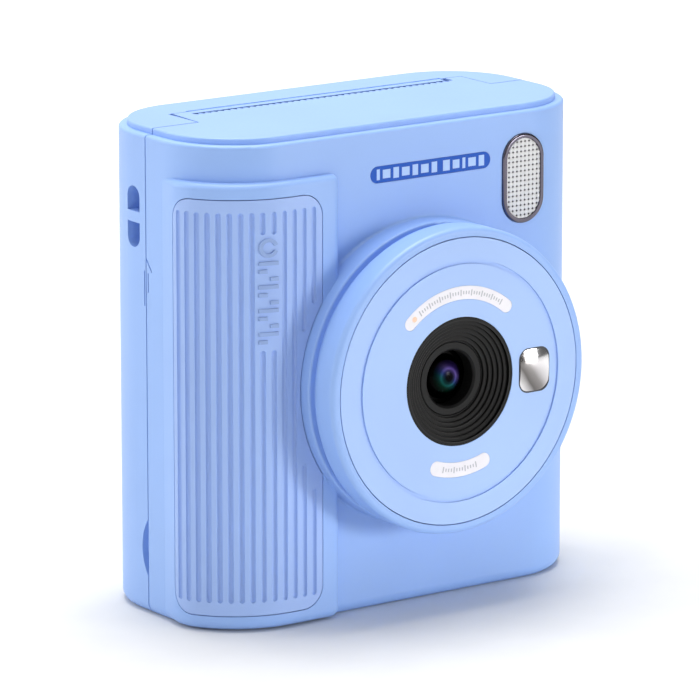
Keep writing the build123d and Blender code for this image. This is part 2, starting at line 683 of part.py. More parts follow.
with BuildPart() as motor_pinion:
    add(gear(pinion_teeth, pinion_phase, motor_y, motor_z, 0.5))
    rod(0.8, motor_x - 3.8, gear_x + gear_t, motor_y, motor_z)
save(motor_pinion.part, "motor_pinion")

# ---- back door ------------------------------------------------------------
with BuildPart() as rear_shell:
    add(casing.part)
    rounded_block(wall, wall, roof_z, mode=Mode.SUBTRACT)
    block((-60, -30, -1), (60, back_edge_y, body_h + 1), mode=Mode.SUBTRACT)
    # room for the tongue, with a lip that makes the far side of the paper slot
    notch_left, notch_right = tongue_left - tongue_gap, tongue_right + tongue_gap
    notch_back_y = tongue_back_y + tongue_gap
    block((notch_left, 0, roof_z), (notch_right, notch_back_y, body_h + 1), mode=Mode.SUBTRACT)
    lip_left, lip_right = slot_left + tongue_gap, slot_right - lip_swing
    shelf_z = body_h - shelf_d
    block((lip_left, notch_back_y - 0.5, shelf_z), (lip_right, shelf_back_y, body_h + 1), mode=Mode.SUBTRACT)
    block((lip_left, slot_back_y, roof_z), (lip_right, shelf_back_y, shelf_z))
    # strap slot: a pocket in the side wall with a bar left across its mouth
    block((-side_x + 0.9, 1.5, strap_z - 7.2), (-side_x + 5.8, 8.2, strap_z + 7.2))
    with BuildSketch(Plane.YZ.offset(-side_x - 1)) as strap_mouth:
        with Locations((strap_y, strap_z)):
            SlotOverall(strap_l, strap_w, rotation=90)
            Rectangle(6, strap_bar, mode=Mode.SUBTRACT)
    extrude(amount=3.2, mode=Mode.SUBTRACT)
    with BuildSketch(Plane.YZ.offset(-side_x + 2)) as strap_pocket:
        with Locations((strap_y, strap_z)):
            SlotOverall(strap_l, strap_w, rotation=90)
    extrude(amount=2.8, mode=Mode.SUBTRACT)
    # finger notch in the front edge
    with Locations(Location((-side_x, seam_y + 2.1 - notch_r, notch_z), (0, 90, 0))):
        Cylinder(notch_r, 2.6, mode=Mode.SUBTRACT)
    # slit of the door catch
    block((-side_x - 1, 0.9, 61.1), (-side_x + catch_d, 0.9 + catch_w, 68.0), mode=Mode.SUBTRACT)
    # screen window, buttons, speaker
    with BuildSketch(Plane.XZ.offset(-back_y)):
        with Locations((0, screen_z)):
            RectangleRounded(screen_w + 0.2, screen_h + 0.2, 3)
    extrude(amount=1.0, mode=Mode.SUBTRACT)
    block((-22, 19, screen_z - 16.5), (22, 22, screen_z + 16.5), mode=Mode.SUBTRACT)
    for x, z, r in buttons.values():
        disc(r + 0.15, inner_back_y, back_y, x, z, mode=Mode.SUBTRACT)
    for ring, count in ((0, 1), (1.7, 6), (3.4, 12)):
        for k in range(count):
            a = 2 * pi * k / count
            x, z = speaker_x + ring * cos(a), speaker_z + ring * sin(a)
            disc(0.5, inner_back_y, back_y, x, z, mode=Mode.SUBTRACT)
    # middle hinge knuckles
    for z in hinge_stations:
        z0, z1 = z + knuckle_l + knuckle_gap, z + 2 * knuckle_l - knuckle_gap
        post(knuckle_r, z0, z1, hinge_x, hinge_y)
        block((side_x - 1, hinge_y + 0.3, z0), (hinge_x, hinge_y + 2.2, z1))
        post(pin_r + running_gap, z0, z1, hinge_x, hinge_y, mode=Mode.SUBTRACT)
save(rear_shell.part, "rear_shell")

with BuildPart() as screen_window:
    with BuildSketch(Plane.XZ.offset(-back_y)):
        with Locations((0, screen_z)):
            RectangleRounded(screen_w, screen_h, 2.9)
    extrude(amount=1.0)
save(screen_window.part, "screen_window")

with BuildPart() as screen_panel:
    block((-21.5, board_back_y, screen_z - 16), (21.5, inner_back_y + 0.8, screen_z + 16))
save(screen_panel.part, "screen_panel")

with BuildPart() as button_board:
    block((-28, board_back_y - board_t, 6), (28, board_back_y, 76))
    for x, z, r in buttons.values():
        block((x - 1.6, board_back_y, z - 1.6), (x + 1.6, board_back_y + 0.4, z + 1.6))
save(button_board.part, "button_board")

for name, (x, z, r) in buttons.items():
    with BuildPart() as button:
        disc(r, inner_back_y - 0.3, button_front_y, x, z)
        fillet(button.edges().group_by(Axis.Y)[-1], 0.35)
        disc(r + 0.6, inner_back_y - 0.9, inner_back_y - 0.2, x, z)
        disc(1.1, board_back_y + 0.4 + button_travel + 0.1, inner_back_y - 0.9, x, z)
    save(button.part, name)

with BuildPart() as speaker:
    disc(speaker_r, board_back_y, inner_back_y - 0.1, speaker_x, speaker_z)
    disc(speaker_r - 0.8, inner_back_y - 0.6, inner_back_y, speaker_x, speaker_z, mode=Mode.SUBTRACT)
save(speaker.part, "speaker")

liner_y0, liner_y1 = 14.6, 15.6
liner_posts = [(-31.0, 9.0), (31.0, 9.0), (-31.0, 75.0), (31.0, 75.0)]
with BuildPart() as door_liner:
    block((-38, liner_y0, 4), (38, liner_y1, 78))
    fillet(door_liner.edges().filter_by(Axis.Y), 3)
    for x, z in liner_posts:
        disc(1.9, liner_y1, inner_back_y - 0.7, x, z)
        disc(0.8, liner_y0, inner_back_y - 1.7, x, z, mode=Mode.SUBTRACT)
save(door_liner.part, "door_liner")

with BuildPart() as door_screws:
    for x, z in liner_posts:
        disc(0.8, liner_y0, inner_back_y - 1.8, x, z)
        disc(1.5, liner_y0 - 0.7, liner_y0, x, z)
save(door_screws.part, "door_screws")

ear_low, ear_high, ear_t = -31.0, 30.2, 1.3
with BuildPart() as platen_bracket:
    block((ear_low, 14.2, 78.5), (ear_high + ear_t, 18.9, 80.5))
    for x0 in (ear_low, ear_high):
        block((x0, 11.8, 78.5), (x0 + ear_t, 18.9, 88.2))
        rod(2.5, x0, x0 + ear_t, platen_y, platen_z, mode=Mode.SUBTRACT)
    for x0 in (-24, 20):
        block((x0, 18.9, 78.5), (x0 + 6, inner_back_y, 80.5))
save(platen_bracket.part, "platen_bracket")

with BuildPart() as platen_bushings:
    for x0 in (ear_low, ear_high):
        rod(2.5, x0, x0 + ear_t, platen_y, platen_z)
        rod(shaft_r + running_gap, x0, x0 + ear_t, platen_y, platen_z, mode=Mode.SUBTRACT)
save(platen_bushings.part, "platen_bushings")

with BuildPart() as platen_shaft:
    rod(shaft_r, gear_x, ear_high + ear_t + 0.5, platen_y, platen_z)
save(platen_shaft.part, "platen_shaft")

with BuildPart() as platen_roller:
    rod(platen_r, paper_x - 28.8, paper_x + 28.8, platen_y, platen_z)
    rod(shaft_r, paper_x - 28.8, paper_x + 28.8, platen_y, platen_z, mode=Mode.SUBTRACT)
save(platen_roller.part, "platen_roller")

with BuildPart() as platen_gear:
    add(gear(platen_teeth, 0, platen_y, platen_z, shaft_r))
save(platen_gear.part, "platen_gear")

with BuildPart() as snap_catches:
    for z0 in (24.0, 62.0):
        block((-side_x + wall, 1.5, z0), (-side_x + wall + 1.4, 5, z0 + 7))
        block((-side_x + wall + 0.3, -4, z0), (-side_x + wall + 1.4, 2, z0 + 7))
save(snap_catches.part, "snap_catches")
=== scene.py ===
import json
import math

import bmesh
import bpy
from mathutils import Matrix, Vector


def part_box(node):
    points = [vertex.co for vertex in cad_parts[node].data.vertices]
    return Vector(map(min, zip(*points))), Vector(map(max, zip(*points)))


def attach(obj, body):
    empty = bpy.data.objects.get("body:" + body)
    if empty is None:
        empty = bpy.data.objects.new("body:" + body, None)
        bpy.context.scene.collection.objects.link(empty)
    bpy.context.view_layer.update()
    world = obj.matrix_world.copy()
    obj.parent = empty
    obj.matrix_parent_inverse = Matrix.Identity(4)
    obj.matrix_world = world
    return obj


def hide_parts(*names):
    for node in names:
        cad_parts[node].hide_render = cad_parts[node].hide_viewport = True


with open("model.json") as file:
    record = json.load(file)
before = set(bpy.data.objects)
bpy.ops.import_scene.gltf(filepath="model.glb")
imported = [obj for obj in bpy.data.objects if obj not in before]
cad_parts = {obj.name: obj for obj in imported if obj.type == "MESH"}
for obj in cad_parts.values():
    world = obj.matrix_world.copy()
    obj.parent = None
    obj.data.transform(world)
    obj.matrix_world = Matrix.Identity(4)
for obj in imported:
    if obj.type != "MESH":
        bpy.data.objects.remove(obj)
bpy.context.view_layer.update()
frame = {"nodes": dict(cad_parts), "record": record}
NODES = frame["nodes"]
MM = 0.001


def box_of(node):
    """Low corner, high corner and middle of a node of the frame, in metres."""
    low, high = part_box(node)
    return low, high, (low + high) / 2


# ---- node material helpers -------------------------------------------------
# colour sockets of a Mix node, which share their names with its number sockets
COLOUR_A, COLOUR_B, COLOUR_OUT = 6, 7, 2


class Shader:
    """A new material with one Principled shader and short calls for the nodes that feed it."""

    def __init__(self, name, **inputs):
        self.material = bpy.data.materials.new(name)
        self.material.use_nodes = True
        self.tree = self.material.node_tree
        self.bsdf = self.tree.nodes["Principled BSDF"]
        self.set(**inputs)
        self.coords = self.tree.nodes.new("ShaderNodeTexCoord").outputs["Object"]

    def set(self, **inputs):
        for key, value in inputs.items():
            socket = self.bsdf.inputs[key.replace("_", " ")]
            if hasattr(socket.default_value, "__len__") and len(value) == 3:
                value = (*value, 1)
            socket.default_value = value

    def add(self, kind, **values):
        node = self.tree.nodes.new("ShaderNode" + kind)
        for key, value in values.items():
            if key in node.inputs:
                node.inputs[key].default_value = value
            else:
                setattr(node, key, value)
        return node

    def link(self, source, target):
        self.tree.links.new(source, target)

    def noise(self, scale, detail=3, roughness=0.5, stretch=None):
        node = self.add("TexNoise", Scale=scale, Detail=detail, Roughness=roughness)
        source = self.coords
        if stretch:
            mapping = self.add("Mapping", Scale=stretch)
            self.link(source, mapping.inputs["Vector"])
            source = mapping.outputs["Vector"]
        self.link(source, node.inputs["Vector"])
        return node.outputs["Fac"]

    def ramp(self, factor, stops):
        node = self.add("ValToRGB")
        elements = node.color_ramp.elements
        while len(elements) < len(stops):
            elements.new(0.5)
        for element, (position, colour) in zip(elements, stops):
            element.position = position
            element.color = (*colour, 1)
        self.link(factor, node.inputs["Fac"])
        return node.outputs["Color"]

    def spread(self, factor, low, high, start=0.0, end=1.0, clamp=True, kind="LINEAR"):
        """Map start to end onto low to high."""
        node = self.add("MapRange", clamp=clamp, interpolation_type=kind)
        keys = ("From Min", "From Max", "To Min", "To Max")
        for key, value in zip(keys, (start, end, low, high)):
            node.inputs[key].default_value = value
        self.link(factor, node.inputs["Value"])
        return node.outputs["Result"]

    def number(self, operation, *sources):
        """One maths node on outputs and fixed numbers."""
        node = self.add("Math", operation=operation)
        for socket, source in zip(node.inputs, sources):
            if isinstance(source, float):
                socket.default_value = source
            else:
                self.link(source, socket)
        return node.outputs["Value"]

    def vector(self, operation, source, fixed=None):
        """One vector maths node on an output and a fixed vector."""
        node = self.add("VectorMath", operation=operation)
        self.link(source, node.inputs[0])
        if fixed is not None:
            node.inputs[1].default_value = fixed
        return node.outputs["Value" if operation in ("DOT_PRODUCT", "LENGTH") else "Vector"]

    def off_axis(self, point):
        """Object coordinates measured square to an axis along Y through a point."""
        return self.vector("MULTIPLY", self.vector("SUBTRACT", self.coords, point), (1, 0, 1))

    def from_middle(self, middle, axis):
        """Object coordinate along X or Z, measured from a middle point."""
        split = self.add("SeparateXYZ")
        self.link(self.coords, split.inputs["Vector"])
        return self.number("SUBTRACT", split.outputs[axis], float(middle["XYZ".index(axis)]))

    def colour(self, output):
        self.link(output, self.bsdf.inputs["Base Color"])

    def rough(self, factor, low, high):
        self.link(self.spread(factor, low, high), self.bsdf.inputs["Roughness"])

    def bump(self, height, strength, distance):
        node = self.add("Bump", Strength=strength, Distance=distance)
        previous = self.bsdf.inputs["Normal"]
        if previous.is_linked:
            self.link(previous.links[0].from_socket, node.inputs["Normal"])
        self.link(height, node.inputs["Height"])
        self.link(node.outputs["Normal"], previous)


def linear(red, green, blue):
    """Linear colour from 0-255 display values."""
    return tuple(
        (v / 255 / 12.92) if v <= 10 else ((v / 255 + 0.055) / 1.055) ** 2.4
        for v in (red, green, blue)
    )


def grey(value):
    return value, value, value


def shade(colour, factor):
    return tuple(min(v * factor, 1) for v in colour)


def moulded_plastic(name, colour, roughness=0.42, grain=0.12, grain_scale=2600, specular=0.5):
    """Moulded plastic: faint flow variation, fine spark-eroded grain, uneven gloss."""
    s = Shader(name, Base_Color=colour, Roughness=roughness, IOR=1.5, Specular_IOR_Level=specular)
    flow = s.noise(35, detail=2)
    s.colour(s.ramp(flow, [(0.3, shade(colour, 0.965)), (0.7, shade(colour, 1.03))]))
    grains = s.noise(grain_scale, detail=2, roughness=0.6)
    s.rough(grains, roughness - 0.06, roughness + 0.08)
    s.bump(grains, grain, 0.00004)
    return s.material


BLUE = linear(150, 185, 242)
DISC_BLUE = linear(167, 197, 248)
PANEL_BLUE = linear(159, 187, 240)
KEY_BLUE = linear(140, 172, 238)
NAVY = linear(8, 84, 188)


def brushed_metal(name, colour, roughness=0.32, stretch=(40, 1, 1)):
    """Rolled sheet or turned steel: fine lines along one direction, uneven gloss."""
    s = Shader(name, Base_Color=colour, Metallic=1.0, Roughness=roughness)
    lines = s.noise(900, detail=4, stretch=stretch)
    s.colour(s.ramp(lines, [(0.3, shade(colour, 0.85)), (0.7, shade(colour, 1.1))]))
    s.rough(lines, roughness - 0.08, roughness + 0.1)
    s.bump(lines, 0.08, 0.00003)
    return s.material


def polished_metal(name, colour, roughness=0.08):
    """Plated surface: nearly smooth, with faint haze."""
    s = Shader(name, Base_Color=colour, Metallic=1.0, Roughness=roughness)
    haze = s.noise(220, detail=3)
    s.colour(s.ramp(haze, [(0.3, shade(colour, 0.94)), (0.7, shade(colour, 1.05))]))
    s.rough(haze, roughness * 0.6, roughness * 1.6)
    return s.material


def mirror_with_painted_reflection(name, node):
    """Plated plastic mirror with a painted reflection: bright, with a slanting dark band across one
    half.
    """
    wander, half_run = 1.0 * MM, 4.6 * MM
    s = Shader(name, Base_Color=(0.6, 0.6, 0.62), Metallic=1.0, Roughness=0.12)
    offset = s.vector("SUBTRACT", s.coords, box_of(node)[2])
    slant = s.vector("DOT_PRODUCT", offset, (0.85, 0, 0.53))
    haze = s.noise(130, detail=2)
    along = s.number("ADD", slant, s.spread(haze, -wander, wander))
    # painted reflection: bright, dark, then bright again across the slant, standing in for the
    # surroundings the mirror reflects
    stops = [
        (0.05, (0.82, 0.8, 0.8)),
        (0.24, (0.16, 0.15, 0.145)),
        (0.44, (0.3, 0.285, 0.28)),
        (0.6, (0.62, 0.6, 0.61)),
        (0.8, (0.88, 0.87, 0.88)),
    ]
    s.colour(s.ramp(s.spread(along, 0.0, 1.0, -half_run, half_run), stops))
    s.rough(haze, 0.08, 0.16)
    return s.material


def circuit_board(name):
    """Green solder mask with a faint track pattern and tinned pads."""
    mask, track, tin = (0.006, 0.075, 0.03), (0.012, 0.14, 0.055), (0.5, 0.5, 0.47)
    s = Shader(name, Base_Color=mask, Roughness=0.3, Coat_Weight=0.4)
    mapping = s.add("Mapping", Rotation=(math.radians(90), 0, 0))
    s.link(s.coords, mapping.inputs["Vector"])
    tracks = s.add("TexBrick", Scale=420, offset=0.37, squash=1.6, squash_frequency=3)
    for key, value in (("Color1", mask), ("Color2", shade(mask, 0.7)), ("Mortar", track)):
        tracks.inputs[key].default_value = (*value, 1)
    tracks.inputs["Mortar Size"].default_value = 0.12
    pads = s.add("TexVoronoi", Scale=520)
    s.link(mapping.outputs["Vector"], tracks.inputs["Vector"])
    s.link(s.coords, pads.inputs["Vector"])
    dots = s.ramp(pads.outputs["Distance"], [(0.13, grey(1)), (0.15, grey(0))])
    mix = s.add("Mix", data_type="RGBA")
    s.link(dots, mix.inputs["Factor"])
    s.link(tracks.outputs["Color"], mix.inputs[COLOUR_A])
    mix.inputs[COLOUR_B].default_value = (*tin, 1)
    s.colour(mix.outputs[COLOUR_OUT])
    s.bump(tracks.outputs["Fac"], 0.15, 0.00004)
    return s.material


def printed_film(name, colour, roughness=0.35, specular=0.5):
    """Printed film: slightly uneven ink and gloss."""
    s = Shader(name, Base_Color=colour, Coat_Weight=0.15, Specular_IOR_Level=specular)
    ink = s.noise(300, detail=4)
    s.colour(s.ramp(ink, [(0.3, shade(colour, 0.96)), (0.7, shade(colour, 1.03))]))
    s.rough(s.noise(90), roughness - 0.05, roughness + 0.08)
    s.bump(s.noise(1800), 0.05, 0.00003)
    return s.material


def wound_paper(name, colour):
    """Thermal paper with soft fibres."""
    s = Shader(name, Base_Color=colour, Roughness=0.75)
    fibres = s.noise(700, detail=5)
    s.colour(s.ramp(fibres, [(0.3, shade(colour, 0.94)), (0.7, shade(colour, 1.02))]))
    s.bump(fibres, 0.12, 0.00003)
    return s.material


def wrapped_cell(name):
    """Foil pouch of the battery: silver, softly creased."""
    s = Shader(name, Base_Color=(0.55, 0.57, 0.6), Metallic=0.7, Roughness=0.35)
    creases = s.noise(60, detail=5)
    s.colour(s.ramp(creases, [(0.3, (0.48, 0.5, 0.54)), (0.7, (0.62, 0.64, 0.67))]))
    s.rough(creases, 0.28, 0.45)
    s.bump(creases, 0.3, 0.0002)
    return s.material


def ground_rubber(name):
    """Ground silicone rubber of the feed roller."""
    s = Shader(name, Base_Color=(0.02, 0.02, 0.021), Roughness=0.7)
    grind = s.noise(1500, detail=4, stretch=(8, 1, 1))
    s.colour(s.ramp(grind, [(0.3, (0.015, 0.015, 0.016)), (0.7, (0.03, 0.03, 0.031))]))
    s.rough(grind, 0.6, 0.85)
    s.bump(grind, 0.25, 0.00005)
    return s.material


def screen_glass(name, node):
    """Tinted cover glass: black printed border, a slightly lighter display area inside it."""
    low, high, middle = box_of(node)
    border = 4.2 * MM
    s = Shader(name, Specular_IOR_Level=0.4)
    within = []
    for axis, half in (("X", (high.x - low.x) / 2), ("Z", (high.z - low.z) / 2)):
        size = s.number("ABSOLUTE", s.from_middle(middle, axis))
        within.append(s.number("LESS_THAN", size, half - border))
    inside = s.number("MULTIPLY", *within)
    s.colour(s.ramp(inside, [(0.0, (0.004, 0.004, 0.005)), (1.0, (0.016, 0.018, 0.024))]))
    s.rough(s.noise(120, detail=4), 0.03, 0.09)
    return s.material


def flash_prism(name, middle, pitch):
    """Moulded prisms, pale with painted sparkle towards each peak and painted shade in the dark pit
    where four of them meet.
    """
    s = Shader(name, Coat_Weight=0.5)
    waves = []
    for axis in ("X", "Z"):
        phase = s.number("MULTIPLY", s.from_middle(middle, axis), math.pi / pitch)
        waves.append(s.number("ABSOLUTE", s.number("COSINE", phase)))
    pit = s.number("ADD", *waves)
    # painted light: near black in each pit, painted shade; bright towards each prism's peak, painted
    # sparkle
    stops = [(0.5, (0.03, 0.027, 0.03)), (0.78, (0.34, 0.33, 0.33)), (1.0, (0.78, 0.77, 0.76))]
    s.colour(s.ramp(pit, stops))
    s.rough(s.noise(500), 0.08, 0.22)
    return s.material


def stepped_plastic(name, node):
    """Matt black plastic of a stepped hood, with painted shade in the inner corner of each step and a
    painted highlight on its lip.
    """
    lip_r, step = 11.9 * MM, 0.86 * MM
    s = Shader(name, Specular_IOR_Level=0.16)
    radius = s.vector("LENGTH", s.off_axis(box_of(node)[2]))
    steps_in = s.spread(radius, 0.0, 1.0, lip_r, lip_r - step, clamp=False)
    # painted light: near black where each step meets the wall above it, painted shade; paler towards
    # the lip of the next step down, painted highlight
    stops = [
        (0.0, (0.0012, 0.0012, 0.0012)),
        (0.22, (0.004, 0.004, 0.004)),
        (0.7, (0.007, 0.0068, 0.0065)),
        (0.88, (0.026, 0.025, 0.024)),
        (1.0, (0.014, 0.0135, 0.013)),
    ]
    s.colour(s.ramp(s.number("FRACT", steps_in), stops))
    grains = s.noise(2600, detail=2, roughness=0.6)
    s.rough(grains, 0.4, 0.54)
    s.bump(grains, 0.2, 0.00004)
    return s.material


def glass_with_painted_reflection(name, centre, glass_r):
    """Black glass with a painted reflection of its coating: violet up and to the right, green down
    and left, brightest in a ring round a black middle.
    """
    lean_run = 2.6 * MM
    s = Shader(name, Specular_IOR_Level=0.03)
    offset = s.off_axis(centre)
    lean = s.vector("DOT_PRODUCT", offset, Vector((0.6, 0, 0.8)).normalized())
    # painted reflection: the coating's violet and green reflection, laid on as base colour while the
    # glass itself reflects little
    reflection_tints = [
        (0.08, (0.002, 0.11, 0.06)),
        (0.32, (0.02, 0.22, 0.24)),
        (0.5, (0.08, 0.13, 0.5)),
        (0.75, (0.3, 0.2, 0.75)),
        (0.95, (0.1, 0.05, 0.4)),
    ]
    # painted reflection: black in the middle, brightest in a ring, back to black well inside the rim
    reflection_rings = ((0, 0), (0.14, 0.01), (0.25, 0.14), (0.32, 0.42), (0.4, 0.15), (0.5, 0.06), (0.62, 0))
    reach = s.spread(s.vector("LENGTH", offset), 0.0, 1.0, 0.0, glass_r)
    reflection_mix = s.add("Mix", data_type="RGBA", blend_type="MULTIPLY", Factor=1.0)
    s.link(s.ramp(s.spread(lean, 0.0, 1.0, -lean_run, lean_run), reflection_tints), reflection_mix.inputs[COLOUR_A])
    s.link(s.ramp(reach, [(place, grey(value)) for place, value in reflection_rings]), reflection_mix.inputs[COLOUR_B])
    s.colour(reflection_mix.outputs[COLOUR_OUT])
    s.rough(s.noise(150), 0.15, 0.25)
    return s.material


def dress(node, material):
    """Give a frame node a new material in place of its own."""
    slots = NODES[node].data.materials
    slots.clear()
    slots.append(material)


shell_blue = moulded_plastic("shell_blue", BLUE)
disc_blue = moulded_plastic("disc_blue", DISC_BLUE, roughness=0.5, grain=0.2, grain_scale=3400)
panel_blue = moulded_plastic("panel_blue", PANEL_BLUE, roughness=0.45)
key_blue = moulded_plastic("key_blue", KEY_BLUE, roughness=0.36)
black = moulded_plastic("black_plastic", (0.013, 0.013, 0.014), roughness=0.42)
lens_black = stepped_plastic("lens_black", "lens_hood")
barrel_black = moulded_plastic("barrel_black", grey(0.006), roughness=0.5, specular=0.2)
acetal = moulded_plastic("acetal", (0.72, 0.72, 0.68), roughness=0.35)
white_film = printed_film("white_film", linear(238, 236, 242))
navy_film = printed_film("navy_film", NAVY, roughness=0.45, specular=0.2)
steel = brushed_metal("steel", (0.6, 0.6, 0.62))
mirror = mirror_with_painted_reflection("mirror_plate", "selfie_mirror")
bezel_chrome = polished_metal("bezel_chrome", (0.13, 0.12, 0.15), 0.13)
board_green = circuit_board("board_green")
paper = wound_paper("thermal_paper", (0.86, 0.86, 0.83))
rubber = ground_rubber("roller_rubber")
pouch = wrapped_cell("battery_pouch")
lens_middle = box_of("lens_barrel")[2]
lens_x, lens_z = lens_middle.x, lens_middle.z
GLASS_R = 5.4 * MM
lens_painted_reflection = glass_with_painted_reflection("lens_painted_reflection", lens_middle + Vector((0, 0, 0.15 * MM)), GLASS_R)
cover_glass = screen_glass("cover_glass", "screen_window")
panel_black = printed_film("panel_black", (0.01, 0.01, 0.012))

FINISHES = {
    "blue_shell": shell_blue,
    "grip_panel": panel_blue,
    "face_disc": disc_blue,
    "button_blue": key_blue,
    "white_label": white_film,
    "blue_label": navy_film,
    "steel": steel,
    "black_plastic": black,
    "white_plastic": acetal,
    "black_rubber": rubber,
    "mirror": mirror,
    "dark_chrome": bezel_chrome,
    "clear_lens": acetal,
    "lens_glass": lens_painted_reflection,
    "screen_glass": cover_glass,
    "screen_panel": panel_black,
    "circuit_board": board_green,
    "battery_wrap": pouch,
    "paper": paper,
}
for part in frame["record"]["subparts"]:
    dress(part["node"], FINISHES[part["material_slot"]])
dress("lens_hood", lens_black)
dress("lens_barrel", barrel_black)


# ---- mesh helpers -----------------------------------------------------------
def add_piece(name, mesh, material, body, smooth_angle=None):
    """Put a mesh in the scene, finished and riding with one body."""
    piece = bpy.data.objects.new(name, mesh)
    bpy.context.scene.collection.objects.link(piece)
    mesh.materials.append(material)
    if smooth_angle is not None:
        mesh.shade_smooth()
        mesh.set_sharp_from_angle(angle=math.radians(smooth_angle))
    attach(piece, body)
    return piece


def prism(outline, place, low, high, mesh_data):
    """Append to the bmesh a straight-sided solid on a closed outline of (u, v) points."""
    count = len(outline)
    bottom = [mesh_data.verts.new(place(u, v, low)) for u, v in outline]
    top = [mesh_data.verts.new(place(u, v, high)) for u, v in outline]
    mesh_data.faces.new(bottom[::-1])
    mesh_data.faces.new(top)
    for i in range(count):
        j = (i + 1) % count
        mesh_data.faces.new((bottom[i], bottom[j], top[j], top[i]))


def finish_mesh(name, mesh_data):
    """Turn a bmesh into a mesh with its faces turned outwards."""
    bmesh.ops.recalc_face_normals(mesh_data, faces=mesh_data.faces)
    mesh = bpy.data.meshes.new(name)
    mesh_data.to_mesh(mesh)
    mesh_data.free()
    return mesh


def round_bar(width, height, u, v, turn=0.0, steps=6):
    """Outline of a bar with round ends, width along u before it is turned."""
    radius = min(width, height) / 2
    reach_u, reach_v = width / 2 - radius, height / 2 - radius
    points = []
    for corner, (su, sv) in enumerate(((1, 1), (-1, 1), (-1, -1), (1, -1))):
        for i in range(steps + 1):
            a = math.pi / 2 * (corner + i / steps)
            points.append((su * reach_u + radius * math.cos(a), sv * reach_v + radius * math.sin(a)))
    unique = [p for i, p in enumerate(points) if (Vector(p) - Vector(points[i - 1])).length > 1e-7]
    c, s = math.cos(turn), math.sin(turn)
    return [(u + p * c - q * s, v + p * s + q * c) for p, q in unique]


def ring_sector(inner, outer, start, end, u, v, steps=40):
    """Outline of part of a flat ring, angles in degrees."""
    angles = [math.radians(start + (end - start) * i / steps) for i in range(steps + 1)]
    points = [(u + outer * math.cos(a), v + outer * math.sin(a)) for a in angles]
    points += [(u + inner * math.cos(a), v + inner * math.sin(a)) for a in reversed(angles)]
    return points


def faces_front(y):
    """Places (u, v, depth) on a face that looks along -Y, u to +X and v up."""
    return lambda u, v, depth: Vector((u, y - depth, v))


def faces_back(y):
    """Places (u, v, depth) on a face that looks along +Y, u to the right of someone facing it."""
    return lambda u, v, depth: Vector((-u, y + depth, v))


def lathe(name, profile, axis_x, axis_z, segments=96):
    """Surface turned about an axis along Y from (radius, y) points; a zero radius closes it."""
    mesh_data = bmesh.new()
    rows = []
    for radius, y in profile:
        if radius == 0:
            rows.append([mesh_data.verts.new((axis_x, y, axis_z))] * segments)
            continue
        row = []
        for i in range(segments):
            a = 2 * math.pi * i / segments
            point = (axis_x + radius * math.cos(a), y, axis_z + radius * math.sin(a))
            row.append(mesh_data.verts.new(point))
        rows.append(row)
    for row, following in zip(rows, rows[1:]):
        for i in range(segments):
            j = (i + 1) % segments
            corners = (row[i], row[j], following[j], following[i])
            face = [v for k, v in enumerate(corners) if v not in corners[:k]]
            if len(face) > 2:
                mesh_data.faces.new(face)
    return finish_mesh(name, mesh_data)


# ---- flash: a plate of moulded prisms ---------------------------------------
PRISM_PITCH = 0.97 * MM


def in_stadium(x, z, middle, half_w, half_h, inset):
    """Move a point that lies outside an upright stadium onto its edge."""
    radius, reach = half_w - inset, half_h - half_w
    anchor_z = middle.z + max(-reach, min(reach, z - middle.z))
    offset = Vector((x - middle.x, z - anchor_z))
    if offset.length > radius:
        offset = offset.normalized() * radius
    return middle.x + offset.x, anchor_z + offset.y


def make_flash_prisms():
    """A closed plate whose front is an even field of low rounded prisms."""
    low, high, middle = box_of("flash_lens")
    half_w, half_h = (high.x - low.x) / 2, (high.z - low.z) / 2
    rise, per_prism = 0.28 * MM, 6
    step = PRISM_PITCH / per_prism
    columns, rows = int(half_w / step) + 2, int(half_h / step) + 2
    mesh_data = bmesh.new()
    grid = {}
    for i in range(-columns, columns + 1):
        for j in range(-rows, rows + 1):
            x, z = in_stadium(
                middle.x + i * step, middle.z + j * step, middle, half_w, half_h, 0.02 * MM
            )
            wave = abs(math.cos(math.pi * (x - middle.x) / PRISM_PITCH))
            wave += abs(math.cos(math.pi * (z - middle.z) / PRISM_PITCH))
            height = rise * min(wave / 2, 1)
            grid[i, j] = mesh_data.verts.new((x, low.y + rise - height, z))
    for i in range(-columns, columns):
        for j in range(-rows, rows):
            corners = (grid[i, j], grid[i + 1, j], grid[i + 1, j + 1], grid[i, j + 1])
            mesh_data.faces.new(corners)
    bmesh.ops.remove_doubles(mesh_data, verts=mesh_data.verts, dist=1e-6)
    bmesh.ops.dissolve_degenerate(mesh_data, edges=mesh_data.edges, dist=1e-7)
    rim = [edge for edge in mesh_data.edges if edge.is_boundary]
    walls = bmesh.ops.extrude_edge_only(mesh_data, edges=rim)["geom"]
    for vert in walls:
        if isinstance(vert, bmesh.types.BMVert):
            vert.co.y = high.y
    back = [e for e in mesh_data.edges if e.is_boundary]
    bmesh.ops.contextual_create(mesh_data, geom=back)
    mesh = finish_mesh("flash_prisms", mesh_data)
    glass = flash_prism("prism_glass", middle, PRISM_PITCH)
    piece = add_piece("flash_prisms", mesh, glass, "front_half")
    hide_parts("flash_lens")


make_flash_prisms()


